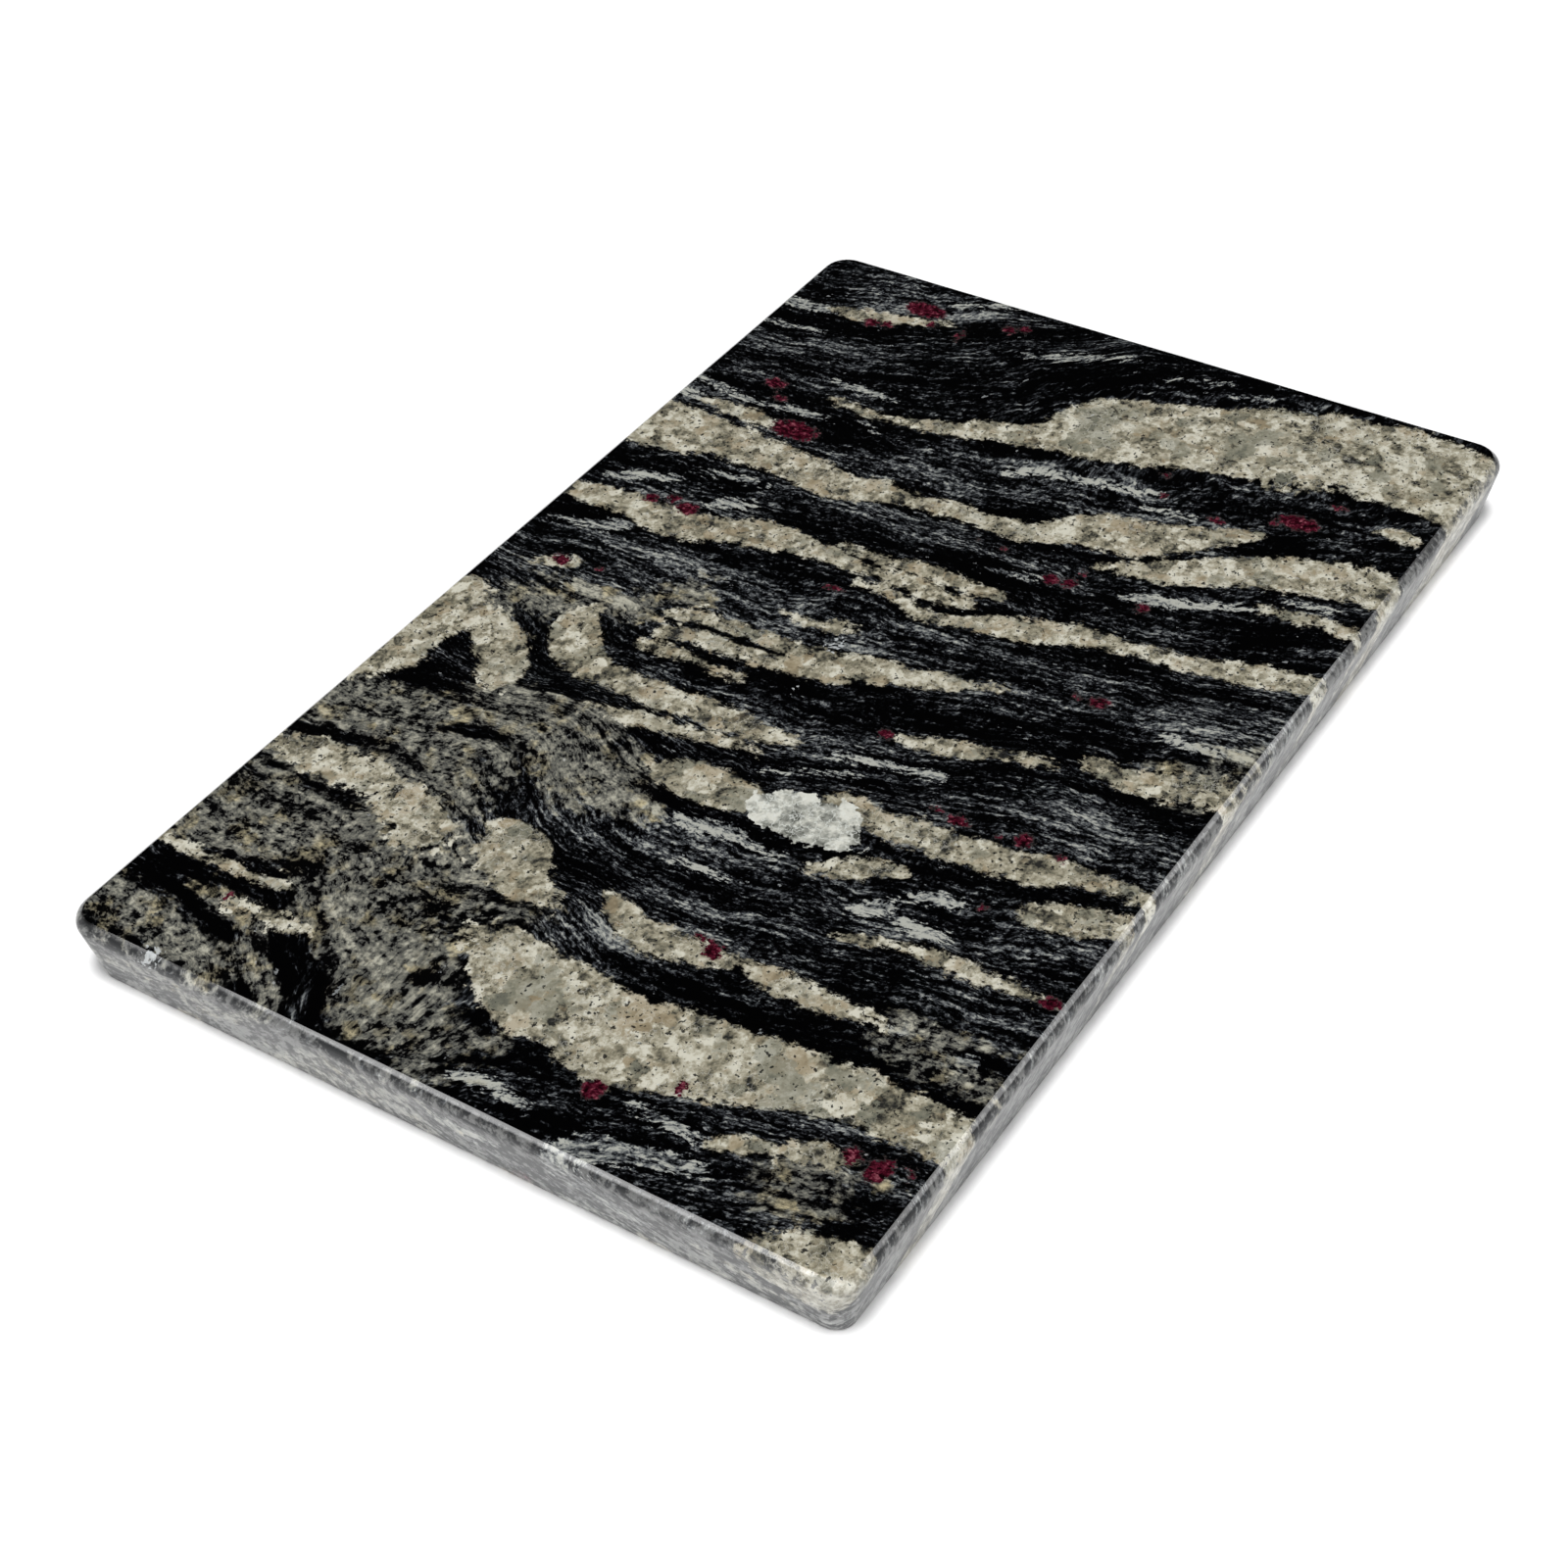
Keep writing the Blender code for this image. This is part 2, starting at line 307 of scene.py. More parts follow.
# Places where mica plates are painted white, one plate after another, as glints that stand in for the light
# they catch, given as the garnets are.
PAINTED_GLINT_PLACES = [(6, 6, 4.5, 2.8), (-177, 85, 4, 4), (-15, 5, 2, 1)]

# A band's border counts only up to this far away, in millimetres.
FARTHEST = 14.0

# How freely the bent board may miss the lines it is fitted to, and what keeps its logarithm finite.
BOARD_EASE = 40.0
NEARLY_ZERO = 1e-9

# Millimetres that a crystal's border is shaken by, and that lie between two cracks in a pale crystal.
SHAKE = 4.0
CRACK_SPACING = 3.2

# How deep the pits in the polish are, in metres.
PIT_DEPTH = 0.0001

# Single colours of the stone.
BEIGE = (0.290, 0.232, 0.145)
OLIVE_GLASS = (0.178, 0.180, 0.140)
PALE_CRACK = (0.53, 0.52, 0.46)
BLACK_SPECK = (0.006, 0.006, 0.007)
WHITE_CRACK = (0.64, 0.66, 0.62)
TAN_SHIFT = (1.22, 1.06, 0.74)
GARNET_RIM = (0.13, 0.11, 0.105)
# A painted highlight: the white laid into the colour where mica plates would catch the light.
PAINTED_MICA_GLINT = (0.60, 0.63, 0.64)
# Dusty colours of the honed, rubbed and sawn faces, also laid on towards the base as painted light from the
# bright floor.
DARK_DUST_AND_BOUNCE = (0.11, 0.115, 0.12)
PALE_DUST_AND_BOUNCE = (0.66, 0.665, 0.65)


# ---------------------------------------------------------------- the slab's shape

def edge_profile():
    """Each row round the edge, from the face's rim to the base: its inset from the outline, and height."""
    slope = math.atan2(ARRIS_DROP, ARRIS_WIDTH)
    widest_height = THICKNESS - ARRIS_DROP - NOSE_RADIUS * math.cos(slope)
    upright = math.pi / 2
    slopes = [slope + (upright - slope) * step / NOSE_STEPS for step in range(NOSE_STEPS)]
    slopes += [upright + SIDE_LEAN * step / LEAN_STEPS for step in range(LEAN_STEPS + 1)]
    nose = [(NOSE_RADIUS * (1 - math.sin(turn)), widest_height + NOSE_RADIUS * math.cos(turn))
            for turn in slopes]
    rim_inset = nose[0][0] + ARRIS_WIDTH
    arris = [(rim_inset - ARRIS_WIDTH * step / ARRIS_STEPS, THICKNESS - ARRIS_DROP * step / ARRIS_STEPS)
             for step in range(ARRIS_STEPS)]
    lean_inset, lean_height = nose[-1]
    foot_inset = lean_inset + (lean_height - BASE_ARRIS) * math.tan(SIDE_LEAN)
    side = [(lean_inset + (foot_inset - lean_inset) * step / SIDE_STEPS,
             lean_height + (BASE_ARRIS - lean_height) * step / SIDE_STEPS)
            for step in range(1, SIDE_STEPS + 1)]
    return arris + nose + side + [(foot_inset + BASE_ARRIS, 0.0)]


def edges_along(bm, axis):
    """The edges of a block that run along this axis."""
    shortest = 1e-6
    return [edge for edge in bm.edges
            if abs((edge.verts[0].co - edge.verts[1].co)[axis]) > shortest]


def rounded_place(across, along, inset, radius):
    """Where a point of the squared lattice goes in the outline with rounded corners."""
    reach = Vector((LENGTH / 2 - radius, WIDTH / 2 - radius))
    point = Vector((across * LENGTH, along * WIDTH))
    anchor = Vector((max(-reach.x, min(reach.x, point.x)), max(-reach.y, min(reach.y, point.y))))
    over = point - anchor
    if over.x and over.y:
        over *= max(abs(over.x), abs(over.y)) / over.length
    return anchor + over * (radius - inset) / radius


def rubbed(place):
    """How much further the hand has rubbed the arris in at this place along the edge."""
    run = (place.x - place.y) * MM
    return RUB_DEPTH * (0.5 + 0.3 * math.sin(run / LONG_WAVER) + 0.2 * math.sin(run / SHORT_WAVER + 1.0))


def make_slab():
    """A finely divided block, its rows drawn in to follow the edge profile and its corners rounded."""
    profile = edge_profile()
    radius = BASE_CORNER_RADIUS + profile[-1][0]
    bm = bmesh.new()
    bmesh.ops.create_cube(bm, size=1.0)
    for axis, squares in enumerate((COLUMNS, LINES, len(profile) - 1)):
        bmesh.ops.subdivide_edges(bm, edges=edges_along(bm, axis), cuts=squares - 1, use_grid_fill=True)
    for vert in bm.verts:
        row = round((0.5 - vert.co.z) * (len(profile) - 1))
        inset, height = profile[row]
        on_edge = max(abs(vert.co.x), abs(vert.co.y)) > RIM_STARTS
        if row == 0 and on_edge:
            inset += rubbed(rounded_place(vert.co.x, vert.co.y, inset, radius))
        place = rounded_place(vert.co.x, vert.co.y, inset, radius)
        vert.co = (place.x, place.y, height)
    for face in bm.faces:
        face.smooth = True
    for edge in bm.edges:
        edge.smooth = edge.calc_face_angle(0.0) < CRISP_ANGLE
    bmesh.ops.recalc_face_normals(bm, faces=bm.faces)
    mesh = bpy.data.meshes.new("polished_slab")
    bm.to_mesh(mesh)
    bm.free()
    slab = bpy.data.objects.new("polished_slab", mesh)
    bpy.context.scene.collection.objects.link(slab)
    return slab


# ---------------------------------------------------------------- where the rock's bands lie

def smooth_line(points, steps=4):
    """The points of a line, with a smooth curve through them."""
    knots = np.array(points, float)
    padded = np.vstack([2 * knots[0] - knots[1], knots, 2 * knots[-1] - knots[-2]])
    line = []
    for index in range(len(knots) - 1):
        before, start, end, after = padded[index:index + 4]
        for step in range(steps):
            t = step / steps
            line.append(0.5 * (2 * start + (end - before) * t
                               + (2 * before - 5 * start + 4 * end - after) * t ** 2
                               + (3 * start - before - 3 * end + after) * t ** 3))
    line.append(knots[-1])
    return np.array(line)


def depth_inside(places, veins):
    """Millimetres from each place to the nearest vein's border, positive inside the vein."""
    deepest = np.full(len(places), -FARTHEST)
    for vein in veins:
        line = smooth_line(vein)
        low = line[:, :2].min(0) - line[:, 2].max() - FARTHEST
        high = line[:, :2].max(0) + line[:, 2].max() + FARTHEST
        near = np.flatnonzero(((places > low) & (places < high)).all(1))
        spots = places[near]
        best = deepest[near]
        for start, end in zip(line[:-1], line[1:]):
            run = end[:2] - start[:2]
            share = np.clip((spots - start[:2]) @ run / (run @ run), 0, 1)
            gap = np.linalg.norm(spots - start[:2] - share[:, None] * run, axis=1)
            best = np.maximum(best, start[2] + share * (end[2] - start[2]) - gap)
        deepest[near] = best
    return deepest


def depth_in_grains(places, grains):
    """Millimetres from each place to the nearest oval grain's border, positive inside the grain."""
    deepest = np.full(len(places), -FARTHEST)
    for x, y, half_width, half_length in grains:
        away = (places - (x, y)) / (half_width, half_length)
        depth = (1 - np.linalg.norm(away, axis=1)) * min(half_width, half_length)
        deepest = np.maximum(deepest, depth)
    return deepest


def spread(places, spots):
    """The amounts of the spots about each place, each one fading out at its reach."""
    total = np.zeros(len(places))
    for x, y, reach, amount in spots:
        total += amount * np.exp(-((places - (x, y)) ** 2).sum(1) / reach ** 2)
    return total


def flow_level(places):
    """A level that rises across the bands only: the height of a thin board bent to the flow lines."""
    knots = np.array([point for _, line in FLOW_LINES for point in line], float)
    levels = np.array([level for level, line in FLOW_LINES for _ in line], float)

    def bent(spots):
        squares = ((spots[:, None, :] - knots[None]) ** 2).sum(2)
        return squares * np.log(squares + NEARLY_ZERO)

    flat = np.hstack([np.ones((len(knots), 1)), knots])
    ease = BOARD_EASE * np.eye(len(knots))
    board = np.block([[bent(knots) + ease, flat], [flat.T, np.zeros((3, 3))]])
    weights = np.linalg.solve(board, np.concatenate([levels, np.zeros(3)]))
    return bent(places) @ weights[:-3] + np.hstack([np.ones((len(places), 1)), places]) @ weights[-3:]


def mark_rock(slab):
    """Writes on the slab's points where each of the rock's bands lies."""
    mesh = slab.data
    spots = np.zeros(len(mesh.vertices) * 3)
    mesh.vertices.foreach_get("co", spots)
    spots = spots.reshape(-1, 3) * MM
    depth = (THICKNESS_MM - spots[:, 2])[:, None]
    places = spots[:, :2] + depth * (DIP_X, DIP_Y)
    marks = {
        "flow": flow_level(places),
        "cream": depth_inside(places, CREAM_VEINS),
        "grey": depth_inside(places, GREY_VEINS),
        "grainy": depth_inside(places, GRAINY_GROUND),
        "black": depth_inside(places, BLACK_SEAMS),
        "quartz": depth_inside(places, QUARTZ_LENSES),
        "garnet": depth_in_grains(places, GARNETS),
        # where painted glints of mica are laid into the colour
        "painted_glint": depth_in_grains(places, PAINTED_GLINT_PLACES),
        "tone": spread(places, TONES),
        "blush": spread(places, [(x, y, reach, blush) for x, y, reach, blush, _ in CREAM_TINTS]),
        "glassy": spread(places, [(x, y, reach, glassy) for x, y, reach, _, glassy in CREAM_TINTS]),
    }
    for name, values in marks.items():
        mark = mesh.attributes.new(name, "FLOAT", "POINT")
        mark.data.foreach_set("value", values.astype(np.float32))


# ---------------------------------------------------------------- stone

class Recipe:
    """A material or a room being mixed: each step adds one node and gives back what it makes."""

    def __init__(self, owner):
        owner.use_nodes = True
        self.owner = owner
        self.tree = owner.node_tree
        self.tree.nodes.clear()

    def add(self, kind, inputs, **settings):
        """One node, its inputs either linked or set to a value."""
        node = self.tree.nodes.new(kind)
        for name, value in settings.items():
            setattr(node, name, value)
        for socket, value in inputs.items():
            if isinstance(value, bpy.types.NodeSocket):
                self.tree.links.new(value, node.inputs[socket])
            else:
                node.inputs[socket].default_value = value
        return node

    def maths(self, operation, first, second=0.0, third=0.0):
        return self.add("ShaderNodeMath", {0: first, 1: second, 2: third}, operation=operation).outputs[0]

    def plus(self, first, second):
        return self.maths("ADD", first, second)

    def times(self, first, second):
        return self.maths("MULTIPLY", first, second)

    def greater(self, first, second):
        return self.maths("MAXIMUM", first, second)

    def sum(self, start, *amounts):
        """The start and each amount times its share, added up."""
        for amount, share in amounts:
            start = self.maths("MULTIPLY_ADD", amount, share, start)
        return start

    def stir(self, middle, *amounts, plus=None):
        """Random amounts, each times its share, that wander about a middle; plus is added as it is."""
        start = middle - 0.5 * sum(share for _, share in amounts)
        if plus is not None:
            start = self.plus(plus, start)
        return self.sum(start, *amounts)

    def fade(self, value, start, end):
        """0 at start, 1 at end, smoothly between them."""
        node = self.add("ShaderNodeMapRange", {"Value": value, "From Min": start, "From Max": end},
                        interpolation_type="SMOOTHSTEP")
        return node.outputs["Result"]

    def mark(self, name):
        """What is written on the piece's points under this name."""
        return self.add("ShaderNodeAttribute", {}, attribute_name=name).outputs["Fac"]

    def stretch(self, vector, sizes):
        """A vector or a colour with each of its three numbers times its own size."""
        return self.add("ShaderNodeVectorMath", {0: vector, 1: sizes}, operation="MULTIPLY").outputs[0]

    def join(self, x, y, z):
        """One vector made of three amounts."""
        return self.add("ShaderNodeCombineXYZ", {0: x, 1: y, 2: z}).outputs[0]

    def cloud(self, vector, size, detail=2.0, roughness=0.5):
        """A smooth random amount about one half, in blots of this size."""
        node = self.add("ShaderNodeTexNoise",
                        {"Vector": vector, "Scale": 1.0 / size, "Detail": detail, "Roughness": roughness})
        return node.outputs["Fac"]

    def crystals(self, vector, size, softness=0.0):
        """Three random numbers from 0 to 1 for each crystal of this size."""
        inputs = {"Vector": vector, "Scale": 1.0 / size}
        if softness:
            node = self.add("ShaderNodeTexVoronoi", inputs, feature="SMOOTH_F1")
            node.inputs["Smoothness"].default_value = softness
        else:
            node = self.add("ShaderNodeTexVoronoi", inputs)
        return self.add("ShaderNodeSeparateColor", {"Color": node.outputs["Color"]}).outputs

    def shades(self, value, stops):
        """A run of colours along a value from 0 to 1."""
        node = self.add("ShaderNodeValToRGB", {"Fac": value})
        ramp = node.color_ramp
        for index, (position, colour) in enumerate(stops):
            stop = ramp.elements[index] if index < 2 else ramp.elements.new(position)
            stop.position = position
            stop.color = (*colour, 1.0)
        return node.outputs["Color"]

    def centred(self, level):
        """A level that wanders about zero, brought to where a run of colours has its middle tones."""
        return self.maths("MULTIPLY_ADD", level, 0.4, 0.3)

    def cover(self, share, under, over):
        """The under colour with the over colour laid on it by a share."""
        under = under if isinstance(under, bpy.types.NodeSocket) else (*under, 1.0)
        over = over if isinstance(over, bpy.types.NodeSocket) else (*over, 1.0)
        return self.add("ShaderNodeMix", {0: share, 6: under, 7: over}, data_type="RGBA").outputs[2]


def rock_patterns(rock):
    """The random patterns that all the kinds of rock share, with sizes in millimetres."""
    spot = rock.add("ShaderNodeTexCoord", {}).outputs["Object"]
    place = rock.stretch(spot, (MM, MM, MM))
    axes = rock.add("ShaderNodeSeparateXYZ", {0: place}).outputs
    bend = rock.cloud(place, 22.0, 1.0)
    ripple = rock.cloud(place, 5.5, 2.0)
    across = rock.sum(rock.mark("flow"), (bend, 6.0), (ripple, 2.2))

    def drawn_out(along, down):
        return rock.join(across, rock.times(axes[1], along), rock.times(axes[2], down))

    flow = drawn_out(0.24, 0.3)
    long_flow = drawn_out(0.075, 0.12)
    short_flow = drawn_out(0.55, 0.7)
    wobble = rock.add("ShaderNodeTexNoise", {"Vector": place, "Scale": 0.5, "Detail": 3.0}).outputs["Color"]
    shaken = rock.add("ShaderNodeVectorMath", {0: wobble, 1: (SHAKE, SHAKE, SHAKE), 2: place},
                      operation="MULTIPLY_ADD").outputs[0]
    return SimpleNamespace(
        place=place,
        height=axes[2],
        shaken=shaken,
        strands=rock.cloud(long_flow, 1.5, 4.0, 0.62),
        streaks=rock.cloud(flow, 1.2, 4.0, 0.68),
        salt=rock.cloud(short_flow, 0.75, 2.0, 0.7),
        bands=rock.cloud(rock.stretch(flow, (1.0, 0.35, 0.6)), 7.5, 3.0),
        patches=rock.cloud(place, 16.0, 2.0),
        warmth=rock.cloud(place, 10.0, 2.0),
        lumps=rock.cloud(place, 3.4, 3.0, 0.62),
        mist=rock.cloud(place, 1.9, 4.0, 0.7),
        dots=rock.cloud(place, 1.25, 2.0, 0.6),
        fine=rock.crystals(short_flow, 0.55),
        middling=rock.crystals(shaken, 1.7),
        soft=rock.crystals(shaken, 2.6, 0.35),
        large=rock.crystals(shaken, 5.2, 0.25),
    )


def dark_ground(rock, by, seam, strand):
    """Black mica and hornblende with thin bluish grey streaks."""
    level = rock.stir(-0.22, (by.strands, 3.6), (by.streaks, 3.2), (by.bands, 3.2), (by.patches, 1.2),
                      (by.salt, 3.6), (by.fine[0], 0.6))
    level = rock.sum(level, (rock.mark("tone"), 1.2), (strand, 1.35), (seam, -0.40))
    return rock.shades(rock.centred(level), [
        (0.20, (0.0003, 0.0003, 0.0004)),
        (0.34, (0.0045, 0.0052, 0.0060)),
        (0.48, (0.030, 0.033, 0.037)),
        (0.61, (0.095, 0.102, 0.107)),
        (0.76, (0.215, 0.225, 0.215)),
        (0.95, (0.38, 0.385, 0.345)),
    ])


def grainy_ground(rock, by, seam, strand):
    """Salt and pepper: black clots among pale grains."""
    level = rock.stir(0.47, (by.lumps, 2.2), (by.mist, 2.4), (by.bands, 2.6), (by.streaks, 1.4),
                      (by.salt, 1.6), (by.strands, 1.6), (by.soft[0], 0.7), (by.middling[1], 0.5),
                      (by.fine[0], 0.6))
    level = rock.sum(level, (seam, -0.85), (strand, 0.5))
    grains = rock.shades(rock.centred(level), [
        (0.27, (0.0008, 0.0008, 0.0009)),
        (0.34, (0.012, 0.012, 0.012)),
        (0.42, (0.060, 0.061, 0.056)),
        (0.60, (0.130, 0.129, 0.110)),
        (0.76, (0.235, 0.230, 0.190)),
        (1.00, (0.40, 0.39, 0.32)),
    ])
    tan = rock.fade(rock.stir(0.0, (by.warmth, 3.0), (by.soft[2], 0.8), plus=rock.mark("blush")),
                    0.0, 0.7)
    return rock.cover(rock.times(tan, 0.75), grains, rock.stretch(grains, TAN_SHIFT))


def cream_feldspar(rock, by, crack):
    """Soft cream crystals, some beige, some glassy olive, with black specks and thin pale cracks."""
    tone = rock.stir(0.59, (by.large[0], 0.55), (by.soft[1], 0.50), (by.mist, 1.3), (by.lumps, 1.3),
                     (by.warmth, 0.9), (by.middling[2], 0.16))
    cream = rock.shades(tone, [
        (0.02, (0.020, 0.020, 0.018)),
        (0.20, (0.084, 0.080, 0.060)),
        (0.38, (0.168, 0.155, 0.112)),
        (0.54, (0.258, 0.237, 0.171)),
        (0.74, (0.380, 0.357, 0.276)),
        (0.98, (0.560, 0.543, 0.455)),
    ])
    beige = rock.fade(rock.stir(0.0, (by.large[2], 0.7), (by.soft[2], 0.5), (by.warmth, 1.4),
                                plus=rock.mark("blush")), 0.12, 0.55)
    cream = rock.cover(rock.times(beige, 0.62), cream, BEIGE)
    glassy = rock.fade(rock.stir(0.0, (by.large[1], 1.0), (by.mist, 1.2), plus=rock.mark("glassy")),
                       0.30, 0.50)
    cream = rock.cover(rock.times(glassy, 0.62), cream, OLIVE_GLASS)
    cracked = rock.times(crack, rock.fade(by.patches, 0.44, 0.56))
    cream = rock.cover(rock.times(cracked, 0.40), cream, PALE_CRACK)
    specks = rock.fade(rock.sum(by.dots, (by.lumps, 0.35)), 0.795, 0.84)
    return rock.cover(rock.times(specks, 0.92), cream, BLACK_SPECK)


def clear_quartz(rock, by, crack):
    """Milky quartz, cracked all through."""
    level = rock.stir(0.66, (by.mist, 1.3), (by.lumps, 1.8), (by.large[0], 0.75), (by.soft[2], 0.5))
    glass = rock.shades(level, [
        (0.08, (0.080, 0.082, 0.070)),
        (0.40, (0.245, 0.252, 0.225)),
        (0.70, (0.390, 0.394, 0.350)),
        (1.00, (0.59, 0.59, 0.53)),
    ])
    return rock.cover(rock.times(crack, 0.7), glass, WHITE_CRACK)


def garnet_crystal(rock, by):
    """Crimson garnet with pink facets."""
    return rock.shades(rock.stir(0.38, (by.fine[2], 0.55), (by.mist, 2.2)), [
        (0.12, (0.004, 0.0006, 0.0012)),
        (0.42, (0.040, 0.0025, 0.008)),
        (0.66, (0.085, 0.010, 0.022)),
        (0.92, (0.24, 0.075, 0.095)),
    ])


def black_seams(rock, by):
    """How much each place belongs to a black seam."""
    depth = rock.stir(0.0, (by.lumps, 5.0), (by.streaks, 5.0), (by.mist, 5.0), (by.fine[1], 0.8),
                      plus=rock.mark("black"))
    return rock.fade(depth, -0.3, 1.8)


def grey_strands(rock, by):
    """How much each place belongs to a thin grey strand."""
    depth = rock.stir(0.0, (by.strands, 4.0), (by.streaks, 5.0), (by.salt, 4.0), (by.fine[1], 0.6),
                      plus=rock.mark("grey"))
    return rock.fade(depth, -0.7, 1.0)


def banded_ground(rock, by, seam):
    """The dark ground, stirred in places into salt and pepper, and how much of each place is stirred."""
    strand = grey_strands(rock, by)
    dark = dark_ground(rock, by, seam, strand)
    grainy = grainy_ground(rock, by, seam, strand)
    depth = rock.stir(0.0, (by.patches, 12.0), (by.lumps, 16.0), (by.bands, 42.0), (by.streaks, 9.0),
                      plus=rock.mark("grainy"))
    share = rock.fade(depth, -1.0, 4.0)
    return rock.cover(share, dark, grainy), share


def cream_veins(rock, by, seam, stirred_share):
    """How much each place belongs to a cream vein, whose border frays most in the stirred ground."""
    depth = rock.stir(0.0, (by.warmth, 4.0), (by.lumps, 4.5), (by.streaks, 4.5), (by.soft[0], 0.8),
                      (by.middling[0], 0.6), (by.fine[1], 0.9), (by.mist, 3.0), plus=rock.mark("cream"))
    stirred = rock.times(rock.plus(by.lumps, -0.5), stirred_share)
    return rock.fade(rock.sum(depth, (seam, -2.0), (stirred, 16.0)), -0.7, 0.7)


def quartz_lens(rock, by):
    """How much each place belongs to the quartz lens."""
    depth = rock.stir(0.0, (by.large[0], 3.4), (by.soft[1], 1.4), (by.mist, 3.0), plus=rock.mark("quartz"))
    return rock.fade(depth, -0.2, 0.2)


def set_garnets(rock, by, stone):
    """The stone with garnets in it, each in a thin greyish rim."""
    depth = rock.stir(0.0, (by.middling[2], 0.9), (by.fine[0], 0.7), (by.mist, 3.0),
                      plus=rock.mark("garnet"))
    rim = rock.fade(depth, -0.6, 0.0)
    stone = rock.cover(rock.times(rim, 0.25), stone, GARNET_RIM)
    return rock.cover(rock.fade(depth, -0.15, 0.30), stone, garnet_crystal(rock, by))


def paint_mica_glints(rock, by, stone):
    """The stone with painted glints: the few mica plates that would catch the light, painted white into its
    colour.
    """
    # painted glints, grouped at the places listed
    grouped_glints = rock.fade(rock.sum(rock.mark("painted_glint"), (by.fine[2], 5.0)), 4.6, 4.9)
    # painted glints, strewn at random over the stone
    stray_glints = rock.fade(rock.sum(by.fine[2], (by.mist, 0.02)), 1.0084, 1.0092)
    return rock.cover(rock.sum(0.0, (grouped_glints, 0.6), (stray_glints, 0.3)), stone, PAINTED_MICA_GLINT)


def finishes_and_painted_bounce(rock, by):
    """How much each height has of the rubbed arris, the honed side, the sawn base, and the painted floor
    light that lightens the side towards its base.
    """
    return SimpleNamespace(
        rubbed_off=rock.fade(by.height, THICKNESS_MM - 0.1, THICKNESS_MM - 0.5),
        honed=rock.fade(by.height, THICKNESS_MM - 1.0, THICKNESS_MM - 3.0),
        # Painted light: the side made paler towards its base, as if lit from the bright floor beside it.
        lower=rock.fade(by.height, THICKNESS_MM - 4.0, 2.0),
        sawn=rock.fade(by.height, 0.5, 0.05),
    )


def dust_and_painted_bounce(rock, by, finish_and_bounce, stone):
    """The stone scuffed and dusty wherever it isn't polished, with the same dusty colour laid on more
    thickly towards the base as painted light thrown up from the bright floor.
    """
    scuffed = rock.fade(rock.stir(0.45, (by.streaks, 4.0), (by.lumps, 3.5), (by.mist, 3.0),
                                  (by.patches, 1.5)), 0.0, 1.0)
    dust_and_bounce_colour = rock.cover(scuffed, DARK_DUST_AND_BOUNCE, PALE_DUST_AND_BOUNCE)
    # the share towards the base is painted floor light; the rest is real scuffing of the unpolished faces
    dust_and_bounce_share = rock.sum(0.0, (finish_and_bounce.rubbed_off, 0.20), (finish_and_bounce.honed, 0.08), (finish_and_bounce.lower, 0.12),
                      (finish_and_bounce.sawn, 0.20))
    return rock.cover(dust_and_bounce_share, stone, dust_and_bounce_colour)


def gneiss(name):
    """Banded gneiss: polished on the face, honed on the sides, sawn beneath."""
    rock = Recipe(bpy.data.materials.new(name))
    by = rock_patterns(rock)
    cells = rock.add("ShaderNodeTexVoronoi", {"Vector": by.shaken, "Scale": 1.0 / CRACK_SPACING},
                     feature="DISTANCE_TO_EDGE")
    crack = rock.fade(cells.outputs["Distance"], 0.045, 0.012)

    seam = black_seams(rock, by)
    ground, stirred_share = banded_ground(rock, by, seam)
    cream_share = cream_veins(rock, by, seam, stirred_share)
    quartz_share = quartz_lens(rock, by)
    stone = rock.cover(cream_share, ground, cream_feldspar(rock, by, crack))
    stone = rock.cover(quartz_share, stone, clear_quartz(rock, by, crack))
    stone = set_garnets(rock, by, stone)
    # painted highlights: mica glints laid into the colour
    stone = paint_mica_glints(rock, by, stone)

    finish_and_bounce = finishes_and_painted_bounce(rock, by)
    # scuffing of the unpolished faces, with painted floor light on the side towards its base
    stone = dust_and_painted_bounce(rock, by, finish_and_bounce, stone)

    # the pale crystals take a better polish than the mica
    pale = rock.greater(cream_share, quartz_share)
    rough = rock.sum(0.10, (pale, -0.03), (by.fine[1], 0.03), (finish_and_bounce.honed, 0.22), (finish_and_bounce.sawn, 0.35))
    pits = rock.cloud(by.place, 0.9, 3.0, 0.6)
    bump = rock.add("ShaderNodeBump", {"Height": pits, "Strength": 0.04, "Distance": PIT_DEPTH})
    surface = rock.add("ShaderNodeBsdfPrincipled",
                       {"Base Color": stone, "Roughness": rough, "Normal": bump.outputs[0]})
    rock.add("ShaderNodeOutputMaterial", {"Surface": surface.outputs[0]})
    return rock.owner


# ---------------------------------------------------------------- floor, light and camera

# The floor: its size in metres, how white it is, and the little light that it gives of itself.
FLOOR_SIZE = 14.0
FLOOR_ALBEDO = 0.88
FLOOR_GLOW = 0.08
WHITE = (1.0, 1.0, 1.0, 1.0)

# Lamps: name, direction to it, strength, how wide it looks in degrees, and whether it gives only shine.
LAMPS = [
    ("overhead", (-0.17, -0.12, 0.978), 2.75, 13, False),
    ("front_lamp", (-0.66, -0.48, 0.574), 0.9, 40, False),
    ("left_strip", (-0.542, 0.438, 0.718), 0.9, 22, True),
    ("right_strip", (0.6125, -0.573, 0.546), 0.5, 22, True),
]

# The room is dark towards the back and where the polished face mirrors it to the camera.
BACK = (0.813, 0.582, 0.0)
MIRRORED = (0.6125, 0.4383, 0.6578)
DIM_CORNER = 0.008
SOFT_CEILING = 0.22
BRIGHT_WALLS = 0.40

# The camera: lens and sensor in millimetres, its place in metres, and its directions.
LENS = 65.424
SENSOR = 36.0
CAMERA_PLACE = (-0.48911, -0.32884, 0.4947)
CAMERA_FORWARD = (0.61253, 0.43825, -0.65783)
CAMERA_RIGHT = (0.54669, -0.83597, -0.04788)


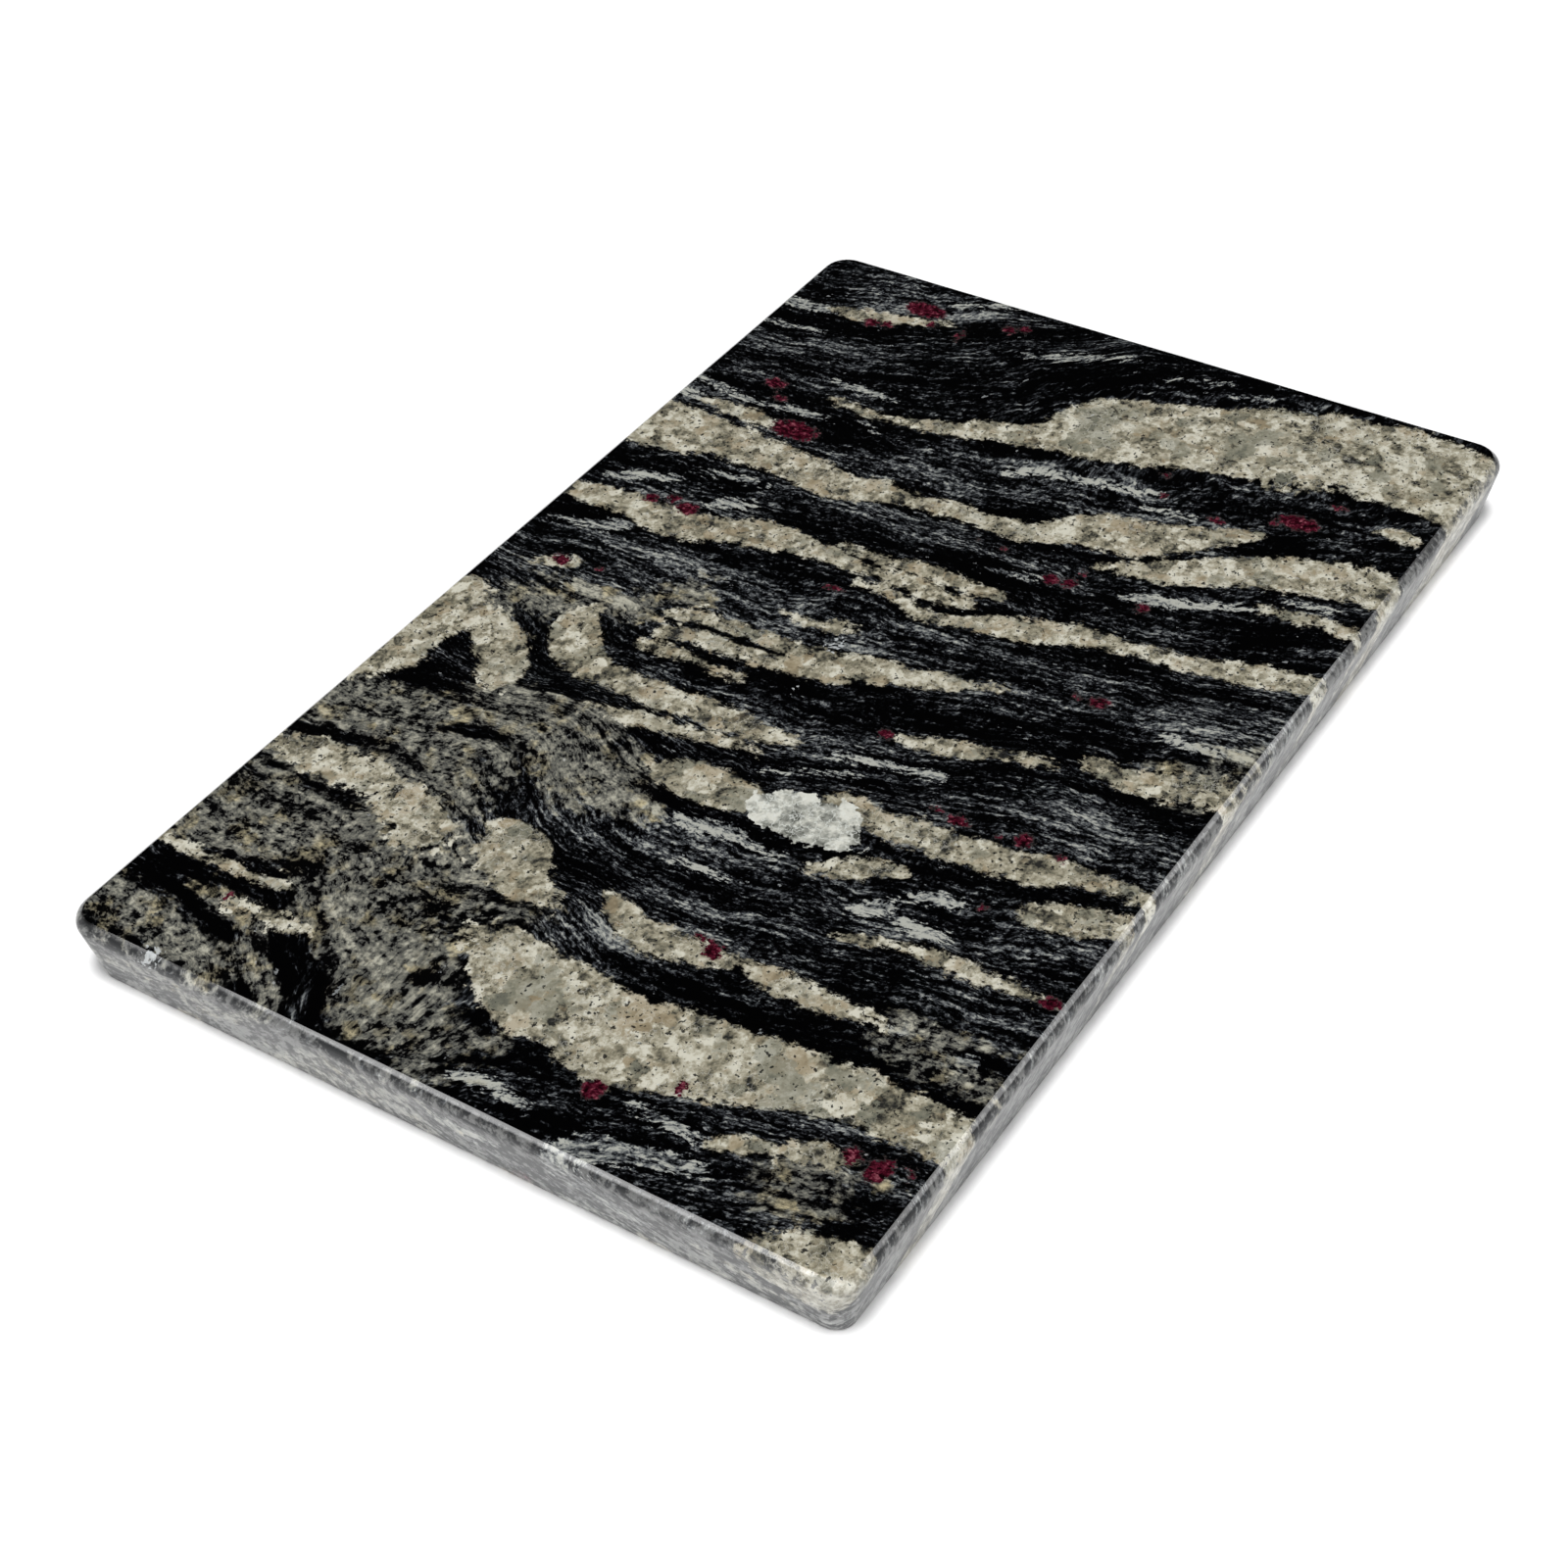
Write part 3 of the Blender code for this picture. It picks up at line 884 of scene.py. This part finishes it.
def lay_floor():
    """A white card, wide enough to fill every view."""
    bm = bmesh.new()
    bmesh.ops.create_grid(bm, x_segments=1, y_segments=1, size=FLOOR_SIZE / 2)
    mesh = bpy.data.meshes.new("floor")
    bm.to_mesh(mesh)
    bm.free()
    floor = bpy.data.objects.new("floor", mesh)
    bpy.context.scene.collection.objects.link(floor)
    card = Recipe(bpy.data.materials.new("white_card"))
    white = (FLOOR_ALBEDO, FLOOR_ALBEDO, FLOOR_ALBEDO, 1.0)
    surface = card.add("ShaderNodeBsdfPrincipled",
                       {"Base Color": white, "Roughness": 1.0, "Specular IOR Level": 0.0,
                        "Emission Color": WHITE, "Emission Strength": FLOOR_GLOW})
    card.add("ShaderNodeOutputMaterial", {"Surface": surface.outputs[0]})
    mesh.materials.append(card.owner)


def hang_lamp(name, toward, strength, width, only_shine):
    """A broad, far lamp. One that gives only shine lights nothing but the gloss."""
    lamp = bpy.data.lights.new(name, "SUN")
    lamp.energy = strength
    lamp.angle = math.radians(width)
    holder = bpy.data.objects.new(name, lamp)
    holder.rotation_mode = "QUATERNION"
    holder.rotation_quaternion = Vector(toward).to_track_quat("Z", "Y")
    holder.visible_diffuse = not only_shine
    bpy.context.scene.collection.objects.link(holder)


def light_room():
    """Hangs the lamps in a room with bright walls and a soft ceiling, seen by the camera as white."""
    for lamp in LAMPS:
        hang_lamp(*lamp)
    world = bpy.data.worlds.new("studio")
    bpy.context.scene.world = world
    room = Recipe(world)
    toward = room.add("ShaderNodeTexCoord", {}).outputs["Generated"]
    height = room.add("ShaderNodeSeparateXYZ", {0: toward}).outputs[2]
    to_back = room.add("ShaderNodeVectorMath", {0: toward, 1: BACK}, operation="DOT_PRODUCT").outputs[1]
    to_mirrored = room.add("ShaderNodeVectorMath", {0: toward, 1: MIRRORED},
                           operation="DOT_PRODUCT").outputs[1]
    walls = room.times(room.fade(height, 0.50, 0.15), room.fade(to_back, 0.75, 0.25))
    ceiling = room.fade(to_mirrored, 0.80, 0.45)
    glow = room.sum(DIM_CORNER, (walls, BRIGHT_WALLS), (ceiling, SOFT_CEILING))
    felt = room.add("ShaderNodeBackground", {"Color": WHITE, "Strength": glow})
    seen = room.add("ShaderNodeBackground", {"Color": WHITE, "Strength": 1.0})
    path = room.add("ShaderNodeLightPath", {}).outputs["Is Camera Ray"]
    chosen = room.add("ShaderNodeMixShader", {0: path, 1: felt.outputs[0], 2: seen.outputs[0]})
    room.add("ShaderNodeOutputWorld", {"Surface": chosen.outputs[0]})


def place_camera():
    """The camera, above and in front of the corner where the two near sides meet."""
    camera = bpy.data.cameras.new("camera")
    camera.sensor_width = SENSOR
    camera.lens = LENS
    camera.clip_start = 0.01
    camera.clip_end = 50.0
    holder = bpy.data.objects.new("camera", camera)
    forward = Vector(CAMERA_FORWARD).normalized()
    right = Vector(CAMERA_RIGHT).normalized()
    up = right.cross(forward)
    turn = Matrix((right, up, -forward)).transposed()
    holder.matrix_world = Matrix.Translation(CAMERA_PLACE) @ turn.to_4x4()
    bpy.context.scene.collection.objects.link(holder)
    bpy.context.scene.camera = holder


# ---------------------------------------------------------------- put together

place_camera()
slab = make_slab()
mark_rock(slab)
slab.data.materials.append(gneiss("polished_gneiss"))
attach(slab, "root")
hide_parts("granite_slab")
lay_floor()
light_room()
bpy.context.scene.view_settings.view_transform = "Standard"
